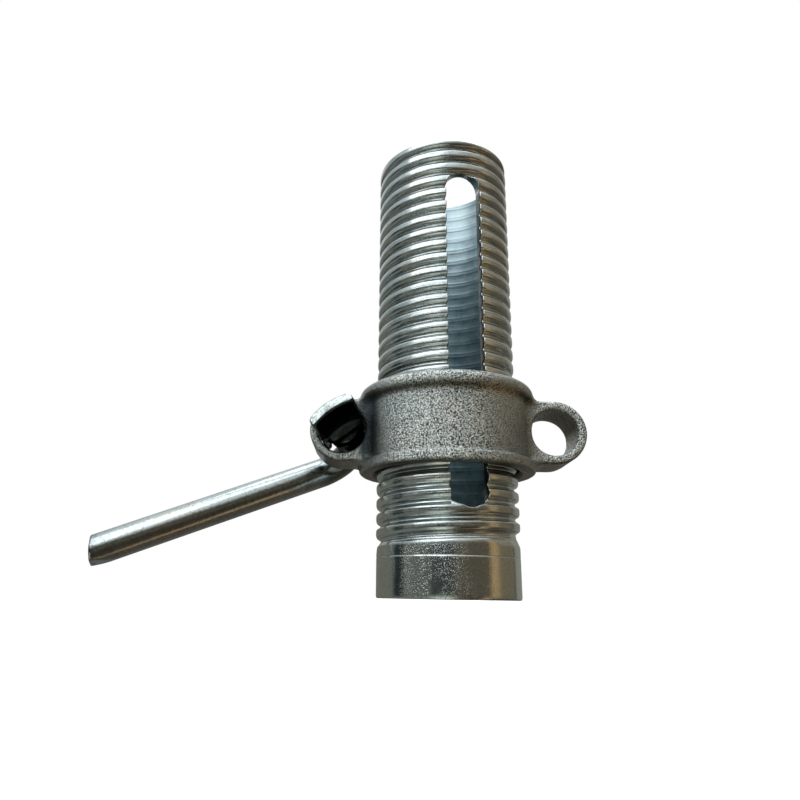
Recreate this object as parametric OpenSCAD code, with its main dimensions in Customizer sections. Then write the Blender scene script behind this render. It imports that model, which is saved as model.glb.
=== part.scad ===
// Threaded tube sleeve with an eared screw nut and a bent-bar turning handle.
// Millimetres. +Z runs up the sleeve's axis, and the origin is the centre of the
// sleeve's bottom face. The nut's two ears lie along X, and the handle hangs in
// the hole of the ear on the -X side.

/* [Sleeve] */
// Outer diameter of the smooth collar at the bottom
collar_od = 60.3; // [60.1:0.1:60.5]
// Overall length of the sleeve
sleeve_len = 200; // [200:1:215]
// Inner diameter of the smooth bore
bore_d = 50.8; // [50.2:0.1:51.4]
// Height of the fine turned line around the collar
line_z = 16.6; // [8:0.1:18]

/* [Thread] */
// Outer diameter over the crests of the rolled thread
crest_od = 60.8; // [60.6:0.1:61.0]
// Rise of the thread in one turn
pitch = 6.35; // [6.2:0.05:6.5]
// Depth of the groove below the crest
groove_depth = 1.9; // [1.6:0.1:2.1]
// Height of the middle of the lowest groove
first_groove_z = 24.67; // [24.2:0.01:25.2]
// How far the rolled grooves stand into the bore
inner_ridge = 0.3; // [0.2:0.1:0.5]
// How far the bore swells between those ridges
inner_swell = 0.1; // [0.1:0.1:0.2]

/* [Pin slots] */
// Width of the two opposed slots
slot_w = 15.4; // [14:0.1:17]
// Height of the slots' lower end
slot_bottom = 35.9; // [33:0.1:40]
// Height of the slots' round upper end
slot_top = 184; // [170:0.5:190]
// Corner radius at the slots' lower end
slot_corner_r = 4.2; // [3:0.1:5]
// Turn of the slots from the front, towards +X, in degrees
slot_turn = 12.2; // [-15:0.1:15]

/* [Nut] */
// Height of the nut's bottom face above the sleeve's bottom face
nut_z = 52; // [50:0.1:54]
// Height of the nut
nut_h = 36.4; // [36:0.1:37]
// Diameter of the two end flanges
flange_d = 76.2; // [75.6:0.1:77]
// Diameter of the waist between the flanges
waist_d = 70.8; // [70.2:0.1:71.4]
// Diameter of the hole for the sleeve, which clears the thread's crests
nut_bore_d = 62; // [61.8:0.1:62.6]
// Thickness of the lower flange at its rim
lower_flange_t = 4; // [3.6:0.1:4.4]
// Thickness of the upper flange at its rim
upper_flange_t = 5.4; // [5:0.1:5.8]

/* [Ears] */
// Distance from the sleeve's axis to the middle of each ear's hole
ear_x = 45.6; // [45.3:0.1:46.2]
// Outer radius of the ears
ear_r = 13.8; // [13.6:0.1:14.0]
// Length of the ears along their holes
ear_t = 20.8; // [20.2:0.1:21.0]
// Diameter of the ears' holes
ear_hole_d = 20.2; // [20.1:0.1:20.4]
// Edge radius of the ears
ear_edge_r = 1.1; // [1:0.1:1.6]

/* [Handle] */
// Diameter of the handle's bar
bar_d = 13.5; // [13:0.1:13.5]
// Length of the long leg from the bend's corner to the middle of its cut end
leg_len = 128.8; // [112:0.1:140]
// Radius of the bend, to the middle of the bar
bend_r = 15; // [14:0.5:15.5]
// Angle between the two legs of the bend
bend_angle = 68.8; // [68:0.1:72]
// Width of the flattened end that keeps the handle in the ear
blade_w = 20.6; // [20:0.1:20.8]
// Thickness of the flattened end
blade_t = 4.4; // [4:0.1:5]

/* [Hidden] */
$fn = 96;
zinc = [0.70, 0.74, 0.75];
cast = [0.58, 0.61, 0.60];
bar_zinc = [0.66, 0.70, 0.72];

// thread: ring grooves of the true section at the true pitch
cr = crest_od / 2;
gd = groove_depth;
n_grooves = floor((sleeve_len - 3 - first_groove_z) / pitch) + 1;
gz = [for (i = [0 : n_grooves - 1]) first_groove_z + i * pitch];
ir = bore_d / 2;

// nut
flange_r = flange_d / 2;
waist_r = waist_d / 2;
nut_bore_r = nut_bore_d / 2;
fil_r = flange_r - waist_r;
nut_top = nut_z + nut_h;
ear_z = nut_z + 17.7;
web_x = nut_bore_r - 1;
waist_lo = nut_z + lower_flange_t;
waist_hi = nut_top - upper_flange_t;

// handle: a point on its short leg, and how that leg leans in its loose hole
swing_at = [-44.75, 0, ear_z + 1.03];
leg_sweep = -11.5;
leg_lift = 9.2;
leg_roll = 208.2;
blade_roll = 215;
corner_back = 34.4;
cut_lean = 13.5;
cut_draw = 15;
blade_tip = 24.6;
flare_from = 1.8;
plate_from = 12.3;
root_at = [0.4, 2.2];
blade_off = -2.1;
bow_r = 25;
tangent_len = bend_r * tan((180 - bend_angle) / 2);

// outer edge of the sleeve's section, from the bottom up
function groove_out(z) = [
    [cr, z - 1.9], [cr - 0.55, z - 1.2], [cr - gd, z - 0.35],
    [cr - gd, z + 0.35], [cr - 0.55, z + 1.2], [cr, z + 1.9]];
function lowest_out(z) = [
    [collar_od / 2, z - 4.2], [collar_od / 2 - 0.35, z - 2.6], [cr - 1.2, z - 1.0],
    [cr - gd, z - 0.35], [cr - gd, z + 0.35], [cr - 0.55, z + 1.2], [cr, z + 1.9]];
// inner edge, where each groove is pushed through as a low ridge
function ridge_in(z) = [
    [ir + inner_swell, z - 1.9], [ir - inner_ridge, z - 0.5],
    [ir - inner_ridge, z + 0.5], [ir + inner_swell, z + 1.9]];

sleeve_outline = concat(
    [[ir, 0], [collar_od / 2 - 0.6, 0], [collar_od / 2, 0.6],
     [collar_od / 2, line_z - 0.35], [collar_od / 2 - 0.2, line_z], [collar_od / 2, line_z + 0.1]],
    lowest_out(gz[0]),
    [for (i = [1 : n_grooves - 1]) each groove_out(gz[i])],
    [[cr, sleeve_len - 0.7], [cr - 0.7, sleeve_len], [ir + inner_swell, sleeve_len]],
    [for (i = [n_grooves - 1 : -1 : 1]) each [for (k = [3 : -1 : 0]) ridge_in(gz[i])[k]]],
    [for (k = [3 : -1 : 1]) ridge_in(gz[0])[k]],
    [[ir, gz[0] - 1.6]]);

// slot seen square on: a round top, and a flatter bottom with small corners
module slot_shape() {
    half = slot_w / 2;
    translate([0, slot_top - half]) circle(d = slot_w);
    translate([-half, slot_bottom + slot_corner_r])
        square([slot_w, slot_top - half - slot_bottom - slot_corner_r]);
    for (s = [-1, 1])
        translate([s * (half - slot_corner_r), slot_bottom + slot_corner_r])
            circle(r = slot_corner_r);
    translate([-(half - slot_corner_r), slot_bottom])
        square([slot_w - 2 * slot_corner_r, slot_corner_r + 0.5]);
    translate([0.4, slot_bottom + 4.9]) circle(r = 6);
}

module sleeve() {
    color(zinc)
    difference() {
        rotate_extrude() polygon(sleeve_outline);
        rotate([0, 0, slot_turn]) rotate([90, 0, 0])
            linear_extrude(height = 80, center = true) slot_shape();
    }
}

// quarter cutter that rounds one outer corner of the nut's section
module corner_cut(x, y, r, up) {
    difference() {
        translate([x - r, up > 0 ? y - r : y - 1]) square([r + 1, r + 1]);
        translate([x - r, up > 0 ? y - r : y + r]) circle(r = r);
    }
}

module nut_section() {
    difference() {
        translate([nut_bore_r - 0.5, nut_z]) square([flange_r - nut_bore_r + 0.5, nut_h]);
        translate([waist_r, waist_lo + fil_r]) square([20, waist_hi - waist_lo - 2 * fil_r]);
        translate([waist_r + fil_r, waist_lo]) square([20, waist_hi - waist_lo]);
        translate([waist_r + fil_r, waist_lo + fil_r]) circle(r = fil_r);
        translate([waist_r + fil_r, waist_hi - fil_r]) circle(r = fil_r);
        corner_cut(flange_r, nut_top, 3, 1);
        corner_cut(flange_r, nut_z, 1.1, -1);
    }
}

// section across the ear's web: ear length by ear height, with round edges
module web_section() {
    t = ear_t / 2;
    h = ear_r;
    r = ear_edge_r;
    square([2 * t - 2 * r, 2 * h], center = true);
    square([2 * t, 2 * h - 2 * r], center = true);
    for (a = [-1, 1], b = [-1, 1]) translate([a * (t - r), b * (h - r)]) circle(r = r);
}

// section of the ear's round end, from its hole's axis outwards
module eye_section() {
    intersection() {
        web_section_turned();
        translate([0, -50]) square([50, 100]);
    }
}

module web_section_turned() {
    rotate([0, 0, 90]) web_section();
}

module ear() {
    translate([ear_x, 0, ear_z]) rotate([0, 90, 0]) rotate([90, 0, 0])
        rotate_extrude(angle = 180) eye_section();
    translate([web_x, 0, ear_z]) rotate([90, 0, 90])
        linear_extrude(height = ear_x - web_x) web_section();
}

module ear_hole() {
    translate([ear_x, 0, ear_z]) rotate([90, 0, 0]) {
        cylinder(d = ear_hole_d, h = ear_t + 4, center = true);
        for (s = [0, 1]) mirror([0, 0, s])
            translate([0, 0, ear_t / 2 - 0.7])
                cylinder(d1 = ear_hole_d, d2 = ear_hole_d + 3, h = 1.5);
    }
}

module nut() {
    color(cast)
    difference() {
        union() {
            rotate_extrude() nut_section();
            ear();
            mirror([1, 0, 0]) ear();
        }
        translate([0, 0, nut_z - 5]) cylinder(r = nut_bore_r, h = nut_h + 10);
        translate([0, 0, nut_z - 0.01]) cylinder(r1 = nut_bore_r + 1.01, r2 = nut_bore_r, h = 1.01);
        translate([0, 0, nut_top - 1]) cylinder(r1 = nut_bore_r, r2 = nut_bore_r + 1.01, h = 1.01);
        ear_hole();
        mirror([1, 0, 0]) ear_hole();
    }
}

// the bar's short leg runs up local Z through the ear; the long leg lies in local XZ
module bent_bar() {
    zb = -corner_back + tangent_len;
    turn = 180 - bend_angle;
    translate([0, 0, zb]) cylinder(d = bar_d, h = flare_from + 2 - zb);
    translate([bend_r, 0, zb]) rotate([90, 0, 0]) rotate([0, 0, 180])
        rotate_extrude(angle = turn) translate([bend_r, 0]) circle(d = bar_d);
    translate([bend_r + bend_r * cos(180 + turn), 0, zb + bend_r * sin(180 + turn)])
        rotate([0, bend_angle, 0]) {
            sphere(d = bar_d - 0.02);
            difference() {
                cylinder(d = bar_d, h = leg_len - tangent_len + bar_d);
                // the sheared end leans, and is drawn in on the side where the shear broke through
                translate([0, 0, leg_len - tangent_len]) {
                    rotate([0, 0, 60]) rotate([0, -cut_lean, 0])
                        translate([-bar_d, -bar_d, 0]) cube([2 * bar_d, 2 * bar_d, 2 * bar_d]);
                    rotate([0, 0, 85]) translate([bar_d / 2, 0, -6.1]) rotate([0, -cut_draw, 0])
                        translate([0, -bar_d, -2]) cube([bar_d, 2 * bar_d, 2 * bar_d]);
                }
            }
        }
}

// section of the flattened end: a plate bowed towards local -Y, with round edges
module blade_section() {
    half = blade_w / 2;
    round_r = blade_t / 2 - 0.1;
    intersection() {
        translate([0, blade_off + bow_r]) circle(r = bow_r + blade_t / 2);
        difference() {
            translate([-(half - round_r), -10]) square([2 * (half - round_r), 20]);
            translate([0, blade_off + bow_r]) circle(r = bow_r - blade_t / 2);
        }
    }
    for (s = [-1, 1])
        translate([s * (half - round_r),
                   blade_off + bow_r - sqrt(pow(bow_r, 2) - pow(half - round_r, 2))])
            circle(r = round_r);
}

// flattened end: the round bar spreads, inside the ear's hole, into a wide bowed plate
module blade() {
    intersection() {
        translate([root_at[0], root_at[1], flare_from])
            cylinder(r1 = 5.5, r2 = 9.3, h = 7.2);
        rotate([90, 0, 90]) linear_extrude(height = 40, center = true)
            polygon([[-7.0, flare_from - 1], [-4.3, flare_from + 8],
                     [1.4, flare_from + 8], [7.0, flare_from - 1]]);
    }
    intersection() {
        translate([0, 0, flare_from + 4]) linear_extrude(height = plate_from - flare_from - 3.6)
            blade_section();
        translate([root_at[0], root_at[1], flare_from + 3])
            cylinder(r1 = 8.2, r2 = 9.8, h = plate_from - flare_from - 2);
    }
    translate([0, 0, plate_from]) linear_extrude(height = blade_tip - plate_from) blade_section();
}

module handle() {
    color(bar_zinc)
    translate(swing_at) rotate([0, 0, leg_sweep]) rotate([90 - leg_lift, 0, 0]) {
        rotate([0, 0, leg_roll]) bent_bar();
        rotate([0, 0, blade_roll]) blade();
    }
}

sleeve();
nut();
handle();
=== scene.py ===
import math

import bpy
import numpy as np
from mathutils import Matrix, Vector


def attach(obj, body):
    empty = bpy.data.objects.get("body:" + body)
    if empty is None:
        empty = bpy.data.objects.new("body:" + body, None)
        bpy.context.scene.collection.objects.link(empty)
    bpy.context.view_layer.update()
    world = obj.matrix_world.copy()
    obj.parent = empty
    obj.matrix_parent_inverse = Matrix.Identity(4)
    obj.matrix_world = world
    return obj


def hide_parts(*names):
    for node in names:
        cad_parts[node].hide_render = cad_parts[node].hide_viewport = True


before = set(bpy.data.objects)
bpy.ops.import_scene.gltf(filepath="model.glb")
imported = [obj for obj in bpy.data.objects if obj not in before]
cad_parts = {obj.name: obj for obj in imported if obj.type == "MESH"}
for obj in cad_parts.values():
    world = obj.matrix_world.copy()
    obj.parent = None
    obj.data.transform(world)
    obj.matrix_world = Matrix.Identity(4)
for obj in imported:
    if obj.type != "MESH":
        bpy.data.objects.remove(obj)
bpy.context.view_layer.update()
MM = 0.001

# ---------------------------------------------------------------- dimensions, mm
PITCH = 6.35
FIRST_GROOVE = 24.67
CREST_R = 30.4
COLLAR_R = 30.15
GROOVE = 1.9
BORE_R = 25.4
SLEEVE_LEN = 200.0
LINE_Z = 16.6
SLOT_TURN = math.radians(12.2)
SLOT_HALF = 7.7
SLOT_BOTTOM = 35.9
SLOT_TOP = 184.0
SLOT_CORNER = 4.2

NUT_Z, NUT_H = 52.0, 36.4
NUT_TOP = NUT_Z + NUT_H
FLANGE_R, WAIST_R = 38.1, 35.4
EAR_X, EAR_Z, EAR_R, EAR_T, EAR_HOLE_R = 45.6, NUT_Z + 17.7, 13.8, 20.8, 10.1

BAR_R = 6.75
LEG_LEN = 128.8
BEND_R = 15.0
BEND_ANGLE = 68.8
BLADE_W, BLADE_T = 20.5, 4.4
BLADE_OFF, BOW_R = -2.1, 25.0
SWING_AT = (-44.75, 0.0, EAR_Z + 1.03)
LEG_SWEEP, LEG_LIFT, LEG_ROLL, BLADE_ROLL = -11.5, 9.2, 208.2, 215.0
CORNER_BACK, BLADE_TIP, FLARE_FROM = 34.4, 24.6, 1.8


def smooth(a, b, x):
    """0 at a and before it, 1 at b and after it; a may be the larger."""
    t = np.clip((x - a) / (b - a), 0.0, 1.0)
    return t * t * (3 - 2 * t)


# ---------------------------------------------------------------- seeded value noise
_rng = np.random.RandomState(7)
_table = _rng.rand(64, 64, 64) * 2 - 1


def noise3(x, y, z, cell):
    """Smooth noise in -1..1 whose lumps are about cell across."""
    q = [np.asarray(c, float) / cell + 1000.0 for c in (x, y, z)]
    i = [np.floor(c).astype(int) for c in q]
    f = [c - k for c, k in zip(q, i)]
    w = [c * c * (3 - 2 * c) for c in f]
    out = 0
    for a in (0, 1):
        for b in (0, 1):
            for c in (0, 1):
                v = _table[(i[0] + a) & 63, (i[1] + b) & 63, (i[2] + c) & 63]
                out = out + v * (w[0] if a else 1 - w[0]) * (w[1] if b else 1 - w[1]) * (w[2] if c else 1 - w[2])
    return out


# ---------------------------------------------------------------- mesh helpers
def make_object(name, verts, faces, body, nodes, sharp=None):
    mesh = bpy.data.meshes.new(name)
    mesh.from_pydata((np.asarray(verts) * MM).tolist(), [], [list(map(int, f)) for f in faces])
    mesh.validate()
    mesh.update()
    obj = bpy.data.objects.new(name, mesh)
    bpy.context.scene.collection.objects.link(obj)
    mesh.polygons.foreach_set("use_smooth", [True] * len(mesh.polygons))
    if sharp:
        mesh.set_sharp_from_angle(angle=math.radians(sharp))
    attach(obj, body)
    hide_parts(*nodes)
    return obj


def boundary_loops(tris):
    """Closed rings of vertices along the edges that only one triangle uses, in order."""
    e = np.concatenate([tris[:, [0, 1]], tris[:, [1, 2]], tris[:, [2, 0]]])
    key = np.sort(e, 1)
    _, inv, count = np.unique(key, axis=0, return_inverse=True, return_counts=True)
    open_edges = e[count[inv.ravel()] == 1]
    nxt = {int(a): int(b) for a, b in open_edges}
    loops = []
    while nxt:
        start = next(iter(nxt))
        ring, at = [start], nxt.pop(start)
        while at != start:
            ring.append(at)
            at = nxt.pop(at)
        loops.append(ring)
    return loops


def zip_rings(a, ta, b, tb, period):
    """Triangles between two closed rings whose parameters both rise round the period."""
    ia, ib = np.argsort(ta), np.argsort(tb)
    a, ta, b, tb = np.array(a)[ia], np.array(ta)[ia], np.array(b)[ib], np.array(tb)[ib]
    na, nb, i, j, out = len(a), len(b), 0, 0, []
    while i < na or j < nb:
        next_a = ta[(i + 1) % na] + period * ((i + 1) // na)
        next_b = tb[(j + 1) % nb] + period * ((j + 1) // nb)
        if j >= nb or (i < na and next_a <= next_b):
            out.append((a[i % na], a[(i + 1) % na], b[j % nb]))
            i += 1
        else:
            out.append((a[i % na], b[(j + 1) % nb], b[j % nb]))
            j += 1
    return out


# ---------------------------------------------------------------- sleeve
def thread_turn(theta, z):
    """The position across the thread in pitches from the first groove at this angle; whole numbers fall on a groove's
    middle.
    """
    h = (z - FIRST_GROOVE) / PITCH - (theta - 270) / 360
    return h


def groove_depth(theta, z):
    """0 on a crest to 1 in the bottom of a groove, for the rolled helical thread."""
    h = thread_turn(theta, z)
    base = np.round(h)
    out = np.zeros(np.broadcast(theta, z).shape)
    for k in (-1, 0, 1):
        n = base + k
        u = (h - n) * PITCH
        turn = 360 * n + theta - 270
        fade = smooth(-282, -84, turn)
        below = smooth(-282, -84, turn - 360)
        g = (1 - 0.10 * smooth(0.3, -0.7, u)) * 0.5 * (1 + np.cos(np.pi * np.clip((-u - 0.35) / 1.65, 0, 1)))
        lip = 0.085 * np.clip((2.3 - u) / 0.6, 0, 1)
        upper = lip + 0.915 * 0.5 * (1 + np.cos(np.pi * np.clip((u - 0.3) / 1.4, 0, 1)))
        g = np.where(u >= 0.3, upper, g)
        g = 0.90 * g + 0.10 * np.cos(np.pi / 2 * np.clip(np.abs(u) / 3.175, 0, 1)) ** 2
        reach = 2.9 + 3.0 * smooth(22, 48, turn)
        low = 0.80 * 0.5 * (1 + np.cos(np.pi * np.clip(-u / reach, 0, 1))) + 0.20 * 0.5 * (1 + np.cos(np.pi * np.clip(-u / 6.2, 0, 1)))
        low = low + 0.05 * np.sin(2 * np.pi * -u / 1.3) * smooth(0.0, 0.5, -u) * (1 - smooth(2.2, 3.0, -u))
        g = np.where(u < 0, g * below + low * (1 - below), g)
        out = np.maximum(out, g * fade)
    return out


def outer_radius(theta, z):
    base = COLLAR_R + (CREST_R - COLLAR_R) * smooth(19.5, 27.5, z)
    wob = 0.035 * noise3(theta / 9.0, z / 2.2, 0 * z, 1.0)
    return base - GROOVE * groove_depth(theta, z) * smooth(17.2, 18.6, z) + wob * smooth(20, 30, z)


def inner_radius(theta, z):
    h = thread_turn(theta, z)
    n = np.round(h)
    u = (h - n) * PITCH
    fade = smooth(-282, -84, 360 * n + theta - 270)
    ridge = 0.5 * (1 + np.cos(np.pi * np.clip(u / 2.9, -1, 1)))
    wob = 0.04 * noise3(theta / 12.0, z / 3.5, 7.5 + 0 * z, 1.0)
    drawn = 0.55 + 0.45 * noise3(theta / 25.0, z / 9.0, 3.5 + 0 * z, 1.0)
    crease = drawn * (np.exp(-(((u - 0.85) / 0.3) ** 2)) + np.exp(-(((u + 0.85) / 0.3) ** 2)))
    return BORE_R + (0.1 + wob) * smooth(19, 25, z) - (0.10 * ridge + 0.10 * crease) * fade


def slot_outline():
    pts = []
    for x in np.linspace(-3.5, 3.5, 41):
        pts.append((x, min(SLOT_BOTTOM, 40.8 - math.sqrt(36 - (x - 0.4) ** 2))))
    zc = SLOT_BOTTOM + SLOT_CORNER
    for a in np.linspace(-90, 0, 15)[1:]:
        pts.append((3.5 + SLOT_CORNER * math.cos(math.radians(a)), zc + SLOT_CORNER * math.sin(math.radians(a))))
    zt = SLOT_TOP - SLOT_HALF
    for z in np.linspace(zc, zt, 110)[1:-1]:
        pts.append((SLOT_HALF, z))
    for a in np.linspace(0, 180, 49):
        pts.append((SLOT_HALF * math.cos(math.radians(a)), zt + SLOT_HALF * math.sin(math.radians(a))))
    for z in np.linspace(zt, zc, 110)[1:-1]:
        pts.append((-SLOT_HALF, z))
    for a in np.linspace(180, 270, 15)[:-1]:
        pts.append((-3.5 + SLOT_CORNER * math.cos(math.radians(a)), zc + SLOT_CORNER * math.sin(math.radians(a))))
    return np.array(pts)


OUTLINE = slot_outline()
_seg = np.roll(OUTLINE, -1, 0) - OUTLINE
_seg_len = np.hypot(_seg[:, 0], _seg[:, 1])
_seg_at = np.concatenate([[0], np.cumsum(_seg_len)])[:-1]
OUTLINE_LEN = _seg_len.sum()


def slot_distance(x, z):
    """(signed distance, positive outside the slot; length along the outline; outward normal)."""
    p = np.stack([np.ravel(x), np.ravel(z)], 1)
    best = np.full(len(p), 1e9)
    at, foot = np.zeros(len(p)), np.zeros((len(p), 2))
    for a in range(0, len(p), 4000):
        q = p[a : a + 4000]
        w = q[:, None] - OUTLINE[None]
        t = np.clip((w * _seg).sum(-1) / np.maximum(_seg_len**2, 1e-12), 0, 1)
        c = OUTLINE + t[..., None] * _seg
        d = np.hypot(*(q[:, None] - c).transpose(2, 0, 1))
        k = d.argmin(1)
        r = np.arange(len(q))
        best[a : a + 4000], foot[a : a + 4000] = d[r, k], c[r, k]
        at[a : a + 4000] = _seg_at[k] + t[r, k] * _seg_len[k]
    zc, zt = SLOT_BOTTOM + SLOT_CORNER, SLOT_TOP - SLOT_HALF
    px, pz = p[:, 0], p[:, 1]
    inside = (np.abs(px) < SLOT_HALF) & (pz > zc) & (pz < zt)
    inside |= (np.hypot(px, pz - zt) < SLOT_HALF) | (np.hypot(px - 0.4, pz - 40.8) < 6)
    inside |= (np.abs(px) < 3.5) & (pz > SLOT_BOTTOM) & (pz <= zc)
    for s in (-1, 1):
        inside |= np.hypot(px - s * 3.5, pz - zc) < SLOT_CORNER
    sign = np.where(inside, -1.0, 1.0)
    n = (p - foot) * sign[:, None]
    n /= np.maximum(np.hypot(*n.T), 1e-9)[:, None]
    return best * sign, at, n, foot


def slot_frame(theta, r):
    """x' across the slots and y' through them; the front slot is on -y'."""
    a = np.radians(theta) - SLOT_TURN
    return r * np.cos(a), r * np.sin(a)


def from_slot_frame(x, y):
    c, s = math.cos(SLOT_TURN), math.sin(SLOT_TURN)
    return x * c - y * s, x * s + y * c


def threaded_shell(radius, rows, columns, z_low, z_high, edge):
    """A helical grid on the surface, cut at z_low, z_high and edge outside both slots."""
    n0, n1 = -4, 31
    offs = np.array(rows)
    theta = 360.0 * np.arange(columns) / columns
    n_rows = (n1 - n0) * len(offs)
    turn = n0 + np.arange(n_rows) // len(offs)
    off = offs[np.arange(n_rows) % len(offs)]
    th = np.repeat(theta[None], n_rows, 0)
    z = FIRST_GROOVE + PITCH * (turn[:, None] + (th - 270) / 360) + off[:, None]
    idx = np.arange(n_rows * columns).reshape(n_rows, columns)
    right = np.concatenate([idx[: n_rows - len(offs), 1:], idx[len(offs) :, :1]], 1)
    left = idx[: n_rows - len(offs)]
    a, b, c, d = left[:-1], right[:-1], right[1:], left[1:]
    tris = np.concatenate([np.stack([a, b, c], -1).reshape(-1, 3), np.stack([a, c, d], -1).reshape(-1, 3)])
    th, z = th.ravel(), z.ravel()

    def keep(t, zz):
        r = radius(t % 360, zz)
        x, _ = slot_frame(t, r)
        g = np.minimum(zz - z_low, z_high - zz)
        near = (np.abs(x) < 13) & (zz > 30) & (zz < 190)
        if near.any():
            g[near] = np.minimum(g[near], slot_distance(x[near], zz[near])[0] - edge)
        return g

    used = (z > z_low - 4) & (z < z_high + 4)
    tris = tris[used[tris].all(1)]
    g = np.full(len(z), -1.0)
    g[used] = keep(th[used], z[used])
    g[np.abs(g) < 1e-9] = 1e-9
    pos = g[tris] > 0
    count = pos.sum(1)
    whole = tris[count == 3]
    mixed = tris[(count == 1) | (count == 2)]
    mp = g[mixed] > 0
    # turn each mixed triangle so that the odd vertex comes first
    odd = np.where(mp.sum(1) == 1, mp.argmax(1), (~mp).argmax(1))
    rolled = np.stack([mixed[np.arange(len(mixed)), (odd + k) % 3] for k in range(3)], 1)
    edges = np.sort(np.concatenate([rolled[:, [0, 1]], rolled[:, [0, 2]]]), 1)
    uniq, inv = np.unique(edges, axis=0, return_inverse=True)
    inv = inv.ravel()
    ta, za, tb, zb = th[uniq[:, 0]], z[uniq[:, 0]], th[uniq[:, 1]], z[uniq[:, 1]]
    dt = (tb - ta + 180) % 360 - 180
    s0, s1 = np.zeros(len(uniq)), np.ones(len(uniq))
    up = g[uniq[:, 0]] > 0
    for _ in range(22):
        m = (s0 + s1) / 2
        same = (keep(ta + m * dt, za + m * (zb - za)) > 0) == up
        s0, s1 = np.where(same, m, s0), np.where(same, s1, m)
    m = (s0 + s1) / 2
    th2 = np.concatenate([th, (ta + m * dt) % 360])
    z2 = np.concatenate([z, za + m * (zb - za)])
    ab, ac = len(th) + inv[: len(rolled)], len(th) + inv[len(rolled) :]
    one = mp.sum(1) == 1
    o, p, q = rolled.T
    parts = [whole, np.stack([o, ab, ac], 1)[one], np.stack([ab, p, q], 1)[~one], np.stack([ab, q, ac], 1)[~one]]
    tris = np.concatenate(parts)
    live, inv = np.unique(tris, return_inverse=True)
    th2, z2 = th2[live], z2[live]
    r = radius(th2, z2)
    return th2, z2, r, inv.reshape(-1, 3)


def build_sleeve():
    verts, faces = [], []

    def add(points):
        start = sum(len(v) for v in verts)
        verts.append(np.asarray(points, float).reshape(-1, 3))
        return np.arange(start, start + len(verts[-1]))

    rings = {}
    offs_out = [-3.175, -2.6, -2.1, -1.75, -1.4, -1.1, -0.8, -0.5, -0.2, 0.1, 0.4, 0.65, 0.9, 1.2, 1.5, 1.7, 2.25, 2.7]
    offs_in = [-3.175, -2.0, -1.4, -1.1, -0.8, -0.5, 0.0, 0.5, 0.8, 1.1, 1.4, 2.0]
    specs = (
        ("out", outer_radius, offs_out, 116, 17.3, 199.35, 0.45),
        ("in", inner_radius, offs_in, 64, 18.0, 199.55, 0.3),
    )
    for side, radius, offs, columns, z_low, z_high, edge in specs:
        th, z, r, tris = threaded_shell(radius, offs, columns, z_low, z_high, edge)
        t = np.radians(th)
        ids = add(np.stack([r * np.cos(t), r * np.sin(t), z], 1))
        faces.extend(ids[tris].tolist())
        for ring in boundary_loops(tris):
            ring = np.array(ring)
            zr = z[ring]
            if zr.max() < z_low + 1e-3:
                rings[side, "low"] = (ids[ring], th[ring], r[ring])
            elif zr.min() > z_high - 1e-3:
                rings[side, "high"] = (ids[ring], th[ring], r[ring])
            else:
                x, y = slot_frame(th[ring], r[ring])
                rings[side, "front" if y.mean() < 0 else "back"] = (ids[ring], x, y, zr)

    def loop_on(prev, theta, r, z):
        """A ring of new points over the same angles, joined to the ring before it."""
        t = np.radians(theta)
        new = add(np.stack([r * np.cos(t), r * np.sin(t), np.full(len(t), float(z))], 1))
        for i in range(len(prev)):
            k = (i + 1) % len(prev)
            faces.append([prev[i], prev[k], new[k], new[i]])
        return new

    # collar, with the fine turned line, and the rounded foot
    ids, th, r = rings["out", "low"]
    for z, dr in ((16.95, 0), (16.72, 0), (16.6, -0.2), (16.42, -0.1), (16.2, 0), (15.6, 0), (12.5, 0), (9.0, 0), (5.5, 0), (2.4, 0), (0.75, 0), (0.3, -0.12), (0.08, -0.36), (0, -0.7)):
        ids = loop_on(ids, th, COLLAR_R + dr + 0 * th, z)
    foot_out = (ids, th)
    ids, th, r = rings["in", "low"]
    for z, dr in ((14.0, 0), (10.0, 0), (6.0, 0), (2.5, 0), (0.5, 0), (0.12, 0.12), (0, 0.45)):
        ids = loop_on(ids, th, BORE_R + dr + 0 * th, z)
    faces.extend(zip_rings(foot_out[0], foot_out[1], ids, th, 360.0))
    # rim
    ids, th, r = rings["out", "high"]
    for z, dr in ((199.7, -0.09), (199.92, -0.3), (200, -0.6)):
        ids = loop_on(ids, th, r + dr, z)
    rim_out = (ids, th)
    ids, th, r = rings["in", "high"]
    for z, dr in ((199.85, 0.08), (200, 0.38)):
        ids = loop_on(ids, th, r + dr, z)
    faces.extend(zip_rings(rim_out[0], rim_out[1], ids, th, 360.0))
    # slots: a rounded edge outside and inside, and the wall between them
    for name, sign in (("front", -1.0), ("back", 1.0)):
        walls = []
        for side, e, way in (("out", 0.45, -1.0), ("in", 0.3, 1.0)):
            ids, x, y, z = rings[side, name]
            _, at, n, foot = slot_distance(x, z)
            prev = ids
            for a in (30, 60, 90):
                s, c = math.sin(math.radians(a)), math.cos(math.radians(a))
                q = foot + n * (e * (1 - s))
                X, Y = from_slot_frame(q[:, 0], y + sign * way * e * (1 - c))
                new = add(np.stack([X, Y, q[:, 1]], 1))
                for i in range(len(prev)):
                    k = (i + 1) % len(prev)
                    faces.append([prev[i], prev[k], new[k], new[i]])
                prev = new
            walls.append((prev, at))
        (a, ta), (b, tb) = walls
        faces.extend(zip_rings(a, ta, b, tb, OUTLINE_LEN))
    return np.concatenate(verts), faces


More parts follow.
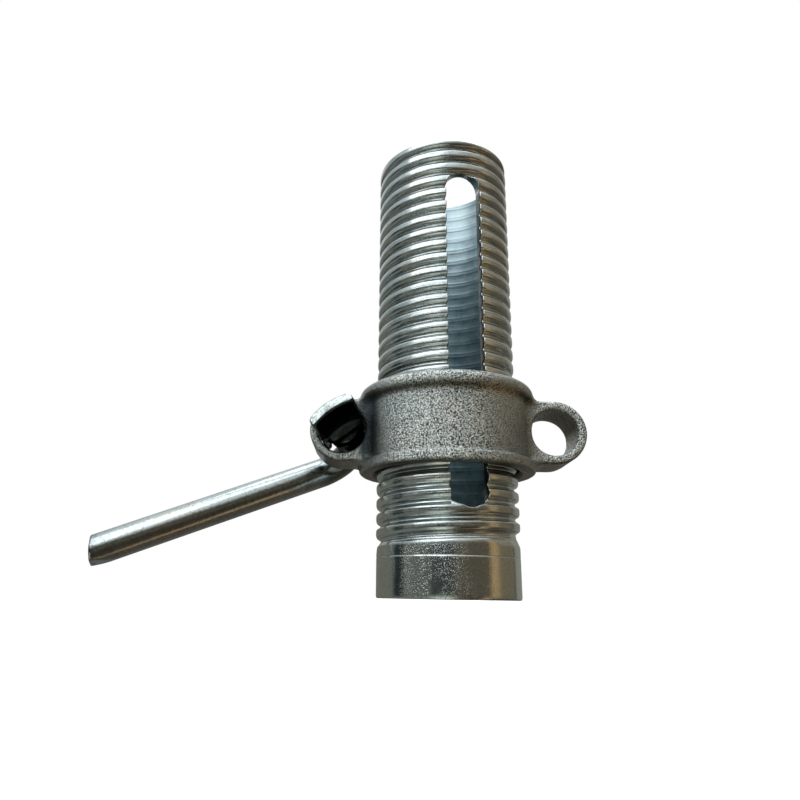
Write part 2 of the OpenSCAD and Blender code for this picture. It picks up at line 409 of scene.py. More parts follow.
# ---------------------------------------------------------------- implicit shapes to quads
def surface_net(f, lo, hi, step, rounds=3):
    """Quads on f = 0, negative inside, with each vertex moved onto the surface."""
    axes = [np.arange(l, h + step, step) for l, h in zip(lo, hi)]
    gx, gy, gz = np.meshgrid(*axes, indexing="ij")
    v = f(gx, gy, gz)
    s = v < 0
    shape = np.array(v.shape)
    cell = np.zeros(shape - 1, bool)
    total, count = np.zeros((*(shape - 1), 3)), np.zeros(shape - 1)
    corner = s[:-1, :-1, :-1]
    for a in (0, 1):
        for b in (0, 1):
            for c in (0, 1):
                cell |= s[a : shape[0] - 1 + a, b : shape[1] - 1 + b, c : shape[2] - 1 + c] != corner
    quads = []
    ident = np.full(shape - 1, -1)
    ident[cell] = np.arange(cell.sum())
    for ax in range(3):
        i0 = [slice(None)] * 3
        i1 = [slice(None)] * 3
        i0[ax], i1[ax] = slice(0, -1), slice(1, None)
        v0, v1 = v[tuple(i0)], v[tuple(i1)]
        cross = (v0 < 0) != (v1 < 0)
        where = np.argwhere(cross)
        t = v0[cross] / (v0[cross] - v1[cross])
        point = where.astype(float)
        point[:, ax] += t
        others = [k for k in range(3) if k != ax]
        for da in (0, -1):
            for db in (0, -1):
                c = where.copy()
                c[:, others[0]] += da
                c[:, others[1]] += db
                ok = ((c >= 0) & (c < shape - 1)).all(1)
                np.add.at(total, tuple(c[ok].T), point[ok])
                np.add.at(count, tuple(c[ok].T), 1)
        inner = ((where[:, others] > 0) & (where[:, others] < (shape - 1)[others])).all(1)
        w = where[inner]
        flip = v0[cross][inner] < 0
        corners = []
        for da, db in ((-1, -1), (0, -1), (0, 0), (-1, 0)):
            c = w.copy()
            c[:, others[0]] += da
            c[:, others[1]] += db
            corners.append(ident[tuple(c.T)])
        q = np.stack(corners, 1)
        if ax == 1:
            flip = ~flip
        q[~flip] = q[~flip][:, ::-1]
        quads.append(q)
    quads = np.concatenate(quads)
    p = total[cell] / count[cell][:, None] * step + np.array([a[0] for a in axes])

    def project(p, times):
        h = 0.02
        for _ in range(times):
            val = f(*p.T)
            grad = np.stack([(f(*(p + h * np.eye(3)[k]).T) - f(*(p - h * np.eye(3)[k]).T)) / (2 * h) for k in range(3)], 1)
            g2 = np.maximum((grad**2).sum(1), 0.05)
            move = -(val / g2)[:, None] * grad
            size = np.linalg.norm(move, axis=1)
            p = p + move * np.minimum(1, 0.5 * step / np.maximum(size, 1e-9))[:, None]
        return p

    p = project(p, 2)
    edges = np.unique(np.sort(np.concatenate([quads[:, [k, (k + 1) % 4]] for k in range(4)]), 1), axis=0)
    for _ in range(rounds):
        acc, n = np.zeros_like(p), np.zeros(len(p))
        np.add.at(acc, edges[:, 0], p[edges[:, 1]])
        np.add.at(acc, edges[:, 1], p[edges[:, 0]])
        np.add.at(n, edges[:, 0], 1)
        np.add.at(n, edges[:, 1], 1)
        p = project(0.5 * p + 0.5 * acc / n[:, None], 1)
    return project(p, 1), quads


def soft_min(a, b, k):
    h = np.clip(0.5 + 0.5 * (b - a) / k, 0, 1)
    return b + (a - b) * h - k * h * (1 - h)


def soft_max(a, b, k):
    return -soft_min(-a, -b, k)


def round_box(x, y, cx, cy, hx, hy, r):
    qx, qy = np.abs(x - cx) - (hx - r), np.abs(y - cy) - (hy - r)
    return np.hypot(np.maximum(qx, 0), np.maximum(qy, 0)) + np.minimum(np.maximum(qx, qy), 0) - r


# ---------------------------------------------------------------- nut
def nut_shape(x, y, z):
    r = np.hypot(x, y)
    mid = (NUT_Z + NUT_TOP) / 2
    body = round_box(r, z, 0, mid, WAIST_R, NUT_H / 2 - 0.3, 0.5)
    top = round_box(r, z, 0, NUT_TOP - 2.75, FLANGE_R, 2.75, 2.3)
    low = round_box(r, z, 0, NUT_Z + 2.15, FLANGE_R - 0.15, 2.15, 0.9)
    d = soft_min(body, top, 2.6)
    d = soft_min(d, low, 1.5)
    ax = np.abs(x)
    seg = np.clip(ax, 24.0, EAR_X)
    around = np.hypot(ax - seg, z - EAR_Z) - EAR_R
    flare = 1.0 * np.exp(-(((ax - 33.5) / 4.0) ** 2))
    qa, qb = around + 1.2, np.abs(y) - (EAR_T / 2 + flare) + 1.2
    ear = np.hypot(np.maximum(qa, 0), np.maximum(qb, 0)) + np.minimum(np.maximum(qa, qb), 0) - 1.2
    ear = np.maximum(ear, 26.0 - ax)
    d = soft_min(d, ear, 4.0)
    lump = 0.07 * noise3(x, y, z, 7.0) + 0.035 * noise3(x + 50, y, z, 2.6)
    d = d + lump * 0.8
    hole = np.hypot(ax - EAR_X, z - EAR_Z) - EAR_HOLE_R - 0.05 * noise3(x, y, z + 40, 4.0)
    d = soft_max(d, -hole, 0.9)
    # bore with its internal thread, open at both mouths
    th = np.degrees(np.arctan2(y, x)) % 360
    h = (z - FIRST_GROOVE) / PITCH - (th - 270) / 360
    u = (h - np.round(h)) * PITCH
    tooth = 0.5 * (1 + np.cos(np.pi * np.clip(np.abs(u) / 2.1, 0, 1)))
    mouth = smooth(NUT_Z + 3.4, NUT_Z + 0.6, z) + smooth(NUT_TOP - 3.0, NUT_TOP - 0.6, z)
    bore = 31.0 - 1.55 * tooth * (1 - np.clip(mouth, 0, 1)) + 1.0 * smooth(NUT_Z + 1.6, NUT_Z, z) + 0.7 * smooth(NUT_TOP - 1.3, NUT_TOP, z)
    return soft_max(d, bore - r, 0.5)


# ---------------------------------------------------------------- handle
def rot_x(a):
    c, s = math.cos(math.radians(a)), math.sin(math.radians(a))
    return np.array([[1, 0, 0], [0, c, -s], [0, s, c]])


def rot_z(a):
    c, s = math.cos(math.radians(a)), math.sin(math.radians(a))
    return np.array([[c, -s, 0], [s, c, 0], [0, 0, 1]])


TURN = 180 - BEND_ANGLE
TANGENT = BEND_R * math.tan(math.radians(TURN / 2))
ZB = -CORNER_BACK + TANGENT
LEG_AT = np.array([BEND_R + BEND_R * math.cos(math.radians(180 + TURN)), 0, ZB + BEND_R * math.sin(math.radians(180 + TURN))])
LEG_DIR = np.array([math.sin(math.radians(BEND_ANGLE)), 0, math.cos(math.radians(BEND_ANGLE))])
LEG_N = np.array([math.cos(math.radians(BEND_ANGLE)), 0, -math.sin(math.radians(BEND_ANGLE))])


def bar_shape(x, y, z):
    """Bent bar in its own frame: short leg up Z, long leg in XZ."""
    swell = 1.05 * smooth(ZB, ZB + 2.5, z) * (1 - smooth(-4.0, 2.0, z)) * np.clip(-x / 7.0, 0, 1) ** 2
    short = np.hypot(x, y) - swell
    short = np.maximum(short - BAR_R, np.maximum(z - (FLARE_FROM + 2.0), ZB - z))
    # arc between the legs
    ang = np.arctan2(z - ZB, x - BEND_R)
    lo = math.radians(-180)
    hi = math.radians(180 + TURN - 360)
    inside = (ang <= hi) & (ang >= lo)
    rad = np.hypot(x - BEND_R, z - ZB)
    arc = np.where(inside & (z < ZB + 1e-9), np.hypot(rad - BEND_R, y) - BAR_R, 50.0)
    px, py, pz = x - LEG_AT[0], y, z - LEG_AT[2]
    t = px * LEG_DIR[0] + pz * LEG_DIR[2]
    side = px * LEG_N[0] + pz * LEG_N[2]
    off = np.hypot(side, y)
    end = LEG_LEN - TANGENT
    # the sheared end leans, is slightly bulged, and is drawn in where the shear broke through
    lower = 0.5 * side + 0.866 * y
    rough = 0.10 * noise3(x, y, z, 2.2)
    face = (t - end) * 0.972 - 0.233 * lower + 0.012 * (lower - 2.0) ** 2 + rough + 0.15
    drawn = (0.087 * side + 0.996 * y - BAR_R) * 0.966 + (t - end + 6.1) * 0.259 + 0.6 * rough + 0.1
    leg = soft_max(soft_max(off - BAR_R, face, 0.6), drawn, 0.7)
    leg = np.maximum(leg, -t)
    return np.minimum(np.minimum(short, arc), leg)


HANDLE_R = rot_z(LEG_SWEEP) @ rot_x(90 - LEG_LIFT)


def handle_local(p_roll):
    return HANDLE_R @ rot_z(p_roll)


def blade_shape(x, y, z):
    """Forged flat end in its own frame, bowed towards -Y; it narrows where it lies in the hole."""
    half = np.interp(z, (0.5, 2.4, 4.5, 5.8, 6.9, 9.0, 11.0, 12.6), (5.9, 7.0, 7.4, 7.9, 9.7, 10.6, 10.4, BLADE_W / 2 + 0.05))
    side = 0.8 * smooth(0.8, 2.6, z) * (1 - smooth(5.5, 7.5, z))
    thick = np.interp(z, (1.8, 6.0, 9.0, 12.0), (5.9, 4.9, 3.3, BLADE_T / 2))
    full = smooth(1.0, 10.5, z)
    mid = full * (BLADE_OFF + x**2 / (2 * BOW_R))
    worn = 0.05 * noise3(x, y, z, 5.0)
    d = round_box(x, y - mid, -side, 0, half + side + worn, thick + 0.04 * noise3(x, y + 30, z, 4.0), np.minimum(thick - 0.3, 1.75))
    # a lap of metal at the corner of the shoulder
    lap = np.sqrt(((x - 9.3) / 1.9) ** 2 + ((y - 3.9) / 2.8) ** 2 + ((z - 8.1) / 1.5) ** 2)
    d = soft_min(d, (lap - 1) * 1.4, 0.6)
    # inside the ear the flat end keeps clear of the hole's wall
    at = handle_local(BLADE_ROLL)
    hx = at[0, 0] * x + at[0, 1] * y + at[0, 2] * z + SWING_AT[0] + EAR_X
    hy = at[1, 0] * x + at[1, 1] * y + at[1, 2] * z
    hz = at[2, 0] * x + at[2, 1] * y + at[2, 2] * z + SWING_AT[2] - EAR_Z
    room = EAR_HOLE_R - 0.14 + 3.6 * smooth(EAR_T / 2 + 0.15, EAR_T / 2 + 1.5, -hy)
    d = soft_max(d, np.hypot(hx, hz) - room, 0.3)
    d = np.maximum(d, FLARE_FROM - 1.0 - z)
    edge = BLADE_TIP - 0.12 + 0.12 * noise3(x, y, 0 * z, 3.0) - 0.1 * (x / 10) ** 2
    return soft_max(d, z - edge, 0.7)


def build_handle():
    """Built in the bar's own frame, then placed; the blade turns about the short leg."""
    c, s = math.cos(math.radians(LEG_ROLL - BLADE_ROLL)), math.sin(math.radians(LEG_ROLL - BLADE_ROLL))

    at = handle_local(LEG_ROLL)

    def f(x, y, z):
        bx, by = c * x - s * y, s * x + c * y
        d = soft_min(bar_shape(x, y, z), blade_shape(bx, by, z), 1.2)
        hx = at[0, 0] * x + at[0, 1] * y + at[0, 2] * z + SWING_AT[0] + EAR_X
        hy = at[1, 0] * x + at[1, 1] * y + at[1, 2] * z
        hz = at[2, 0] * x + at[2, 1] * y + at[2, 2] * z + SWING_AT[2] - EAR_Z
        rho = np.hypot(hx, hz)
        room = 9.94 + 4.0 * smooth(10.0, 11.6, np.abs(hy)) + 60 * smooth(11.6, 16.0, np.abs(hy))
        return np.maximum(d, np.where(rho < 20, rho - room, -5.0))

    lo = (-12.5, -12.5, ZB - BEND_R - 9)
    hi = (LEG_AT[0] + LEG_DIR[0] * (LEG_LEN - TANGENT) + 8, 12.5, BLADE_TIP + 2)
    p, quads = surface_net(f, lo, hi, 0.62)
    w = p @ handle_local(LEG_ROLL).T + np.array(SWING_AT)
    return w, quads


# ---------------------------------------------------------------- pieces
sv, sf = build_sleeve()
sleeve = make_object("sleeve_tube", sv, sf, "sleeve", ["sleeve"], 50)
nv, nf = surface_net(nut_shape, (-61.2, -39.9, NUT_Z - 1.5), (61.2, 39.9, NUT_TOP + 1.5), 0.62)
nut = make_object("eared_nut", nv, nf, "nut", ["nut"])
hv, hf = build_handle()
handle = make_object("bent_handle", hv, hf, "handle", ["handle"])
for obj in (sleeve, nut, handle):
    bm_mesh = obj.data
    import bmesh

    bm = bmesh.new()
    bm.from_mesh(bm_mesh)
    bmesh.ops.remove_doubles(bm, verts=bm.verts, dist=0.00003)
    bmesh.ops.recalc_face_normals(bm, faces=bm.faces)
    bm.to_mesh(bm_mesh)
    bm.free()
    bm_mesh.polygons.foreach_set("use_smooth", [True] * len(bm_mesh.polygons))
    print(obj.name, len(bm_mesh.vertices), "verts", sum(len(p.vertices) - 2 for p in bm_mesh.polygons), "triangles")


# ---------------------------------------------------------------- materials
class Mat:
    def __init__(self, name):
        self.m = bpy.data.materials.new(name)
        self.m.use_nodes = True
        self.t = self.m.node_tree
        self.bsdf = next(n for n in self.t.nodes if n.type == "BSDF_PRINCIPLED")
        self.coord = self.node("ShaderNodeTexCoord").outputs["Object"]

    def node(self, kind, **props):
        n = self.t.nodes.new(kind)
        for k, v in props.items():
            setattr(n, k, v)
        return n

    def link(self, a, b):
        self.t.links.new(a, b)

    def noise(self, scale, detail=2.0, rough=0.5, stretch=None, distortion=0.0):
        n = self.node("ShaderNodeTexNoise")
        src = self.coord
        if stretch:
            mp = self.node("ShaderNodeMapping")
            mp.inputs["Scale"].default_value = stretch
            self.link(src, mp.inputs["Vector"])
            src = mp.outputs["Vector"]
        self.link(src, n.inputs["Vector"])
        n.inputs["Scale"].default_value = scale
        n.inputs["Detail"].default_value = detail
        n.inputs["Roughness"].default_value = rough
        n.inputs["Distortion"].default_value = distortion
        return n.outputs["Fac"]

    def ramp(self, fac, stops, mode="LINEAR"):
        r = self.node("ShaderNodeValToRGB")
        r.color_ramp.interpolation = mode
        els = r.color_ramp.elements
        while len(els) < len(stops):
            els.new(0.5)
        for e, (pos, col) in zip(els, stops):
            e.position = pos
            e.color = (*col, 1.0) if len(col) == 3 else col
        self.link(fac, r.inputs["Fac"])
        return r.outputs["Color"]

    def mix(self, fac, a, b, mode="MIX"):
        n = self.node("ShaderNodeMix", data_type="RGBA", blend_type=mode)
        for sock, val in ((n.inputs[0], fac), (n.inputs[6], a), (n.inputs[7], b)):
            if hasattr(val, "is_linked") or hasattr(val, "node"):
                self.link(val, sock)
            elif isinstance(val, (int, float)):
                sock.default_value = val
            else:
                sock.default_value = (*val, 1.0)
        return n.outputs[2]

    def math(self, op, a, b=None, c=None):
        n = self.node("ShaderNodeMath", operation=op)
        for sock, val in zip(n.inputs, (a, b, c)):
            if val is None:
                continue
            if isinstance(val, (int, float)):
                sock.default_value = val
            else:
                self.link(val, sock)
        return n.outputs[0]

    def map(self, v, a, b, c, d):
        n = self.node("ShaderNodeMapRange")
        self.link(v, n.inputs["Value"])
        for k, x in zip(("From Min", "From Max", "To Min", "To Max"), (a, b, c, d)):
            n.inputs[k].default_value = x
        return n.outputs["Result"]

    def bump(self, height, strength, distance, normal=None):
        n = self.node("ShaderNodeBump")
        n.inputs["Strength"].default_value = strength
        n.inputs["Distance"].default_value = distance
        self.link(height, n.inputs["Height"])
        if normal is not None:
            self.link(normal, n.inputs["Normal"])
        return n.outputs["Normal"]


def tube_material():
    m = Mat("zinc_plated_tube")
    sep = m.node("ShaderNodeSeparateXYZ")
    m.link(m.coord, sep.inputs[0])
    sq = m.math("ADD", m.math("MULTIPLY", sep.outputs["X"], sep.outputs["X"]), m.math("MULTIPLY", sep.outputs["Y"], sep.outputs["Y"]))
    within = m.map(m.math("SQRT", sq), 0.0257, 0.0264, 1.0, 0.0)
    stain = m.noise(38, 3, 0.55)
    fine = m.noise(900, 2, 0.6)
    tint = m.ramp(stain, [(0.3, (0.62, 0.68, 0.69)), (0.52, (0.70, 0.74, 0.74)), (0.72, (0.73, 0.725, 0.68))])
    speck = m.ramp(fine, [(0.34, (0.72, 0.74, 0.74)), (0.47, (1, 1, 1)), (1.0, (1, 1, 1))])
    outer = m.mix(0.6, tint, speck, "MULTIPLY")
    # rolling lines that run round with the thread
    turn = m.math("ARCTAN2", sep.outputs["X"], m.math("MULTIPLY", sep.outputs["Y"], -1.0))
    climb = m.math("SUBTRACT", sep.outputs["Z"], m.math("MULTIPLY", turn, PITCH * MM / (2 * math.pi)))
    helix = m.node("ShaderNodeCombineXYZ")
    m.link(m.math("MULTIPLY", sep.outputs["X"], 60.0), helix.inputs[0])
    m.link(m.math("MULTIPLY", sep.outputs["Y"], 60.0), helix.inputs[1])
    m.link(m.math("MULTIPLY", climb, 2600.0), helix.inputs[2])
    lines = m.node("ShaderNodeTexNoise")
    m.link(helix.outputs[0], lines.inputs["Vector"])
    lines.inputs["Scale"].default_value = 1.0
    lines.inputs["Detail"].default_value = 2.0
    lines.inputs["Roughness"].default_value = 0.6
    drawn = lines.outputs["Fac"]
    scored = m.ramp(drawn, [(0.36, (0.50, 0.54, 0.55)), (0.47, (1, 1, 1)), (1.0, (1, 1, 1))])
    outer = m.mix(m.map(sep.outputs["Z"], 0.0195, 0.0235, 0.0, 0.85), outer, m.mix(1.0, outer, scored, "MULTIPLY"))
    # painted shade: the base colour is darkened wherever ambient occlusion finds metal close by, most of all in the
    # gap at the nut's mouth
    ao = m.node("ShaderNodeAmbientOcclusion", samples=8)
    ao.inputs["Distance"].default_value = 0.010
    painted_gap_shade = m.ramp(ao.outputs["AO"], [(0.22, (0.08, 0.09, 0.09)), (0.50, (0.62, 0.64, 0.64)), (0.62, (1, 1, 1))])
    outer = m.mix(1.0, outer, painted_gap_shade, "MULTIPLY")
    mott = m.noise(160, 3, 0.6)
    inner = m.ramp(mott, [(0.32, (0.34, 0.44, 0.49)), (0.5, (0.44, 0.55, 0.60)), (0.68, (0.52, 0.63, 0.66))])
    # painted shade: the slots' side walls are coloured near-black
    across = m.math("ADD", m.math("MULTIPLY", sep.outputs["X"], math.cos(SLOT_TURN)), m.math("MULTIPLY", sep.outputs["Y"], math.sin(SLOT_TURN)))
    cut = m.math("MULTIPLY", m.map(m.math("ABSOLUTE", across), 0.00780, 0.00795, 1.0, 0.0), m.map(sep.outputs["Z"], 0.1755, 0.1765, 1.0, 0.0))
    cut = m.math("MULTIPLY", cut, m.map(sep.outputs["Z"], 0.0395, 0.0405, 0.0, 1.0))
    painted_slot_wall_shade = m.ramp(fine, [(0.35, (0.022, 0.024, 0.024)), (0.65, (0.06, 0.06, 0.055))])
    m.link(m.mix(cut, m.mix(within, outer, inner), painted_slot_wall_shade), m.bsdf.inputs["Base Color"])
    m.bsdf.inputs["Metallic"].default_value = 1.0
    collar = m.map(sep.outputs["Z"], 0.0195, 0.0215, 1.0, 0.0)
    shine = m.math("SUBTRACT", m.map(m.noise(520, 2, 0.6), 0.3, 0.7, 0.11, 0.21), m.math("MULTIPLY", collar, 0.035))
    dull = m.map(mott, 0.3, 0.7, 0.34, 0.46)
    m.link(m.math("ADD", m.math("MULTIPLY", within, dull), m.math("MULTIPLY", m.math("SUBTRACT", 1.0, within), shine)), m.bsdf.inputs["Roughness"])
    n = m.bump(m.math("MULTIPLY", drawn, m.map(collar, 0.0, 1.0, 1.0, 0.25)), 0.55, 0.00012)
    pits = m.ramp(m.noise(1900, 2, 0.6), [(0.57, (0, 0, 0)), (0.66, (1, 1, 1))])
    spread = m.math("MULTIPLY", m.map(m.noise(1.0, 2, 0.5, (150, 150, 30)), 0.36, 0.56, 0.15, 1.0), m.map(sep.outputs["X"], -0.004, 0.010, 1.0, 0.3))
    n = m.bump(m.math("MULTIPLY", m.math("MULTIPLY", pits, spread), m.map(collar, 0.0, 1.0, 0.25, 1.0)), 0.44, 0.00012, n)
    n = m.bump(m.noise(260, 2, 0.5), 0.08, 0.0002, n)
    m.link(n, m.bsdf.inputs["Normal"])
    return m.m


def cast_material():
    m = Mat("zinc_plated_casting")
    sep = m.node("ShaderNodeSeparateXYZ")
    m.link(m.coord, sep.inputs[0])
    grain = m.noise(1650, 3, 0.66)
    blotch = m.noise(60, 3, 0.5)
    tone = m.ramp(grain, [(0.40, (0.04, 0.045, 0.045)), (0.48, (0.44, 0.46, 0.45)), (0.56, (1.0, 1.0, 1.0))])
    # painted light and shade: the grain's bright and dark specks stay strong in the lit middle and on the ears and
    # fade to an even grey on the darker sides beside both ears
    lit_grain_mask = m.math("MULTIPLY", m.map(sep.outputs["X"], -0.031, -0.022, 0.0, 1.0), m.map(sep.outputs["X"], 0.010, 0.020, 1.0, 0.0))
    lit_grain_mask = m.math("MAXIMUM", lit_grain_mask, m.map(sep.outputs["X"], 0.038, 0.042, 0.0, 1.0))
    lit_grain_mask = m.math("MAXIMUM", lit_grain_mask, m.map(sep.outputs["X"], -0.038, -0.042, 0.0, 1.0))
    tone = m.mix(m.map(lit_grain_mask, 0.0, 1.0, 0.55, 0.0), tone, m.ramp(blotch, [(0.3, (0.44, 0.46, 0.45)), (0.7, (0.50, 0.51, 0.49))]))
    wash = m.ramp(blotch, [(0.3, (0.84, 0.88, 0.88)), (0.7, (1.0, 0.99, 0.96))])
    base = m.mix(1.0, tone, wash, "MULTIPLY")
    # painted shade: the base colour is darkened where ambient occlusion finds corners and recesses
    ao = m.node("ShaderNodeAmbientOcclusion", samples=8)
    ao.inputs["Distance"].default_value = 0.014
    painted_corner_shade = m.ramp(ao.outputs["AO"], [(0.30, (0.03, 0.032, 0.033)), (0.52, (0.16, 0.165, 0.16)), (0.74, (0.66, 0.66, 0.63)), (0.88, (1, 1, 1))])
    base = m.mix(1.0, base, painted_corner_shade, "MULTIPLY")
    # painted shade: undersides that face down and are partly hidden, and the lower undersides of both ears, are
    # coloured dark brown
    facing = m.node("ShaderNodeSeparateXYZ")
    m.link(m.node("ShaderNodeTexCoord").outputs["Normal"], facing.inputs[0])
    painted_underside_shade = m.math("MULTIPLY", m.map(facing.outputs["Z"], -0.04, -0.28, 0.0, 1.0), m.map(ao.outputs["AO"], 0.98, 0.90, 0.0, 1.0))
    painted_ear_underside_shade = m.math("MAXIMUM", m.map(sep.outputs["X"], 0.040, 0.043, 0.0, 1.0), m.map(sep.outputs["X"], -0.040, -0.043, 0.0, 1.0))
    painted_ear_underside_shade = m.math("MULTIPLY", painted_ear_underside_shade, m.map(sep.outputs["Z"], 0.0615, 0.0600, 0.0, 1.0))
    painted_ear_underside_shade = m.math("MULTIPLY", painted_ear_underside_shade, m.map(facing.outputs["Z"], -0.20, -0.60, 0.0, 0.75))
    painted_underside_shade = m.math("MAXIMUM", painted_underside_shade, painted_ear_underside_shade)
    base = m.mix(painted_underside_shade, base, m.ramp(grain, [(0.35, (0.06, 0.052, 0.042)), (0.6, (0.20, 0.17, 0.135))]))
    # painted highlight: under the upper flange, to the right, a gold glint is painted into the dark underside shade
    painted_gold_glint = m.math("MULTIPLY", m.map(sep.outputs["X"], 0.009, 0.015, 0.0, 1.0), m.map(sep.outputs["X"], 0.030, 0.024, 0.0, 1.0))
    painted_gold_glint = m.math("MULTIPLY", painted_gold_glint, m.map(sep.outputs["Z"], 0.0795, 0.0805, 0.0, 1.0))
    painted_gold_glint = m.math("MULTIPLY", m.math("MULTIPLY", painted_gold_glint, painted_underside_shade), m.map(grain, 0.44, 0.52, 0.0, 1.0))
    base = m.mix(painted_gold_glint, base, (0.95, 0.70, 0.42))
    # painted shadow: the front of the body beside the left ear's root is coloured dark blue-grey
    painted_ear_shadow = m.math("MULTIPLY", m.map(sep.outputs["X"], -0.0388, -0.0368, 0.0, 1.0), m.map(sep.outputs["X"], -0.0325, -0.0290, 1.0, 0.0))
    painted_ear_shadow = m.math("MULTIPLY", painted_ear_shadow, m.map(sep.outputs["Y"], 0.004, 0.0, 0.0, 1.0))
    painted_ear_shadow = m.math("MULTIPLY", painted_ear_shadow, m.math("MULTIPLY", m.map(sep.outputs["Z"], 0.0545, 0.0590, 0.0, 1.0), m.map(sep.outputs["Z"], 0.0850, 0.0825, 0.0, 1.0)))
    base = m.mix(m.math("MULTIPLY", painted_ear_shadow, 0.92), base, m.ramp(grain, [(0.35, (0.030, 0.042, 0.050)), (0.65, (0.075, 0.095, 0.105))]))
    # painted shade: the inside of the left ear's hole, where the handle works, is coloured near-black
    dx = m.math("ADD", sep.outputs["X"], EAR_X * MM)
    dz = m.math("SUBTRACT", sep.outputs["Z"], EAR_Z * MM)
    rho = m.math("SQRT", m.math("ADD", m.math("MULTIPLY", dx, dx), m.math("MULTIPLY", dz, dz)))
    base = m.mix(m.map(rho, 0.0103, 0.0111, 1.0, 0.0), base, m.ramp(grain, [(0.4, (0.015, 0.018, 0.019)), (0.6, (0.04, 0.045, 0.045))]))
    m.link(base, m.bsdf.inputs["Base Color"])
    m.bsdf.inputs["Metallic"].default_value = 1.0
    m.link(m.map(grain, 0.3, 0.7, 0.40, 0.22), m.bsdf.inputs["Roughness"])
    n = m.bump(grain, 1.0, 0.00046)
    n = m.bump(m.noise(420, 2, 0.5), 0.2, 0.0005, n)
    m.link(n, m.bsdf.inputs["Normal"])
    return m.m


def bar_material():
    m = Mat("zinc_plated_bar")
    stain = m.noise(45, 3, 0.55)
    tint = m.ramp(stain, [(0.3, (0.50, 0.56, 0.57)), (0.55, (0.60, 0.64, 0.64)), (0.75, (0.63, 0.62, 0.57))])
    streak = m.noise(700, 2, 0.6)
    dim = m.ramp(streak, [(0.33, (0.7, 0.72, 0.72)), (0.5, (1, 1, 1)), (1.0, (1, 1, 1))])
    base = m.mix(0.8, tint, dim, "MULTIPLY")
    # painted shade: the hollow side of the flat end and the bar where it lies in its hole are coloured near-black
    # blue-grey
    sep = m.node("ShaderNodeSeparateXYZ")
    m.link(m.coord, sep.inputs[0])
    side = m.node("ShaderNodeVectorMath", operation="DOT_PRODUCT")
    m.link(m.node("ShaderNodeTexCoord").outputs["Normal"], side.inputs[0])
    side.inputs[1].default_value = (0.536, -0.243, -0.809)
    under = m.map(side.outputs["Value"], 0.05, 0.35, 0.0, 1.0)
    within = m.map(sep.outputs["Y"], -0.0105, -0.0095, 0.0, 1.0)
    near = m.math("MULTIPLY", m.map(sep.outputs["Y"], 0.014, 0.024, 1.0, 0.0), m.map(sep.outputs["X"], -0.064, -0.062, 0.0, 1.0))
    bend = m.math("MULTIPLY", m.map(sep.outputs["Y"], 0.022, 0.034, 0.8, 0.0), m.map(sep.outputs["X"], -0.058, -0.052, 0.0, 1.0))
    hole_shade_mask = m.math("MULTIPLY", m.math("MAXIMUM", near, bend), m.math("MAXIMUM", under, within))
    # the near-black colour of this painted shade
    scale = m.ramp(m.noise(300, 3, 0.6), [(0.35, (0.05, 0.07, 0.078)), (0.65, (0.12, 0.15, 0.155))])
    # the two sheared faces are dull and torn
    torn = m.noise(650, 3, 0.65)
    tip = m.node("ShaderNodeVectorMath", operation="DOT_PRODUCT")
    m.link(m.node("ShaderNodeTexCoord").outputs["Normal"], tip.inputs[0])
    tip.inputs[1].default_value = (-0.197, -0.967, 0.160)
    front = m.math("MULTIPLY", m.map(tip.outputs["Value"], 0.90, 0.96, 0.0, 1.0), m.map(sep.outputs["Y"], -0.021, -0.0195, 1.0, 0.0))
    base = m.mix(front, base, m.ramp(torn, [(0.34, (0.24, 0.27, 0.27)), (0.5, (0.56, 0.62, 0.61)), (0.66, (0.85, 0.92, 0.90))]))
    base = m.mix(m.map(sep.outputs["X"], -0.1500, -0.1475, 1.0, 0.0), base, m.mix(0.8, base, m.ramp(torn, [(0.35, (0.25, 0.24, 0.23)), (0.6, (0.9, 0.9, 0.9))]), "MULTIPLY"))
    m.link(m.mix(hole_shade_mask, base, scale), m.bsdf.inputs["Base Color"])
    m.bsdf.inputs["Metallic"].default_value = 1.0
    m.link(m.math("ADD", m.map(m.noise(300, 2, 0.6), 0.3, 0.7, 0.12, 0.20), m.math("MULTIPLY", front, 0.22)), m.bsdf.inputs["Roughness"])
    n = m.bump(torn, 0.45, 0.00012)
    n = m.bump(m.noise(150, 2, 0.5), 0.12, 0.0004, n)
    m.link(n, m.bsdf.inputs["Normal"])
    return m.m


for obj, mat in ((sleeve, tube_material()), (nut, cast_material()), (handle, bar_material())):
    obj.data.materials.clear()
    obj.data.materials.append(mat)

# ---------------------------------------------------------------- floor
fm = Mat("pale_floor")
pale = fm.ramp(fm.noise(6, 2, 0.5), [(0.3, (0.84, 0.84, 0.84)), (0.7, (0.87, 0.87, 0.87))])
fm.link(pale, fm.bsdf.inputs["Base Color"])
fm.link(pale, fm.bsdf.inputs["Emission Color"])
fm.bsdf.inputs["Emission Strength"].default_value = 0.85
fm.bsdf.inputs["Roughness"].default_value = 0.85
fm.bsdf.inputs["Specular IOR Level"].default_value = 0.0
fv = [(-4, -4, 0), (4, -4, 0), (4, 4, 0), (-4, 4, 0)]
floor_mesh = bpy.data.meshes.new("floor")
floor_mesh.from_pydata(fv, [], [(0, 1, 2, 3)])
floor_mesh.materials.append(fm.m)
floor = bpy.data.objects.new("floor", floor_mesh)
bpy.context.scene.collection.objects.link(floor)
# the floor is only looked at: the light from below comes from the studio around it
floor.visible_diffuse = floor.visible_glossy = floor.visible_shadow = False

# ---------------------------------------------------------------- light
scene = bpy.context.scene
scene.view_settings.view_transform = "Standard"
world = bpy.data.worlds.new("studio")
scene.world = world
world.use_nodes = True
wt = world.node_tree
wt.nodes.clear()


def wnode(kind, **props):
    n = wt.nodes.new(kind)
    for k, v in props.items():
        setattr(n, k, v)
    return n


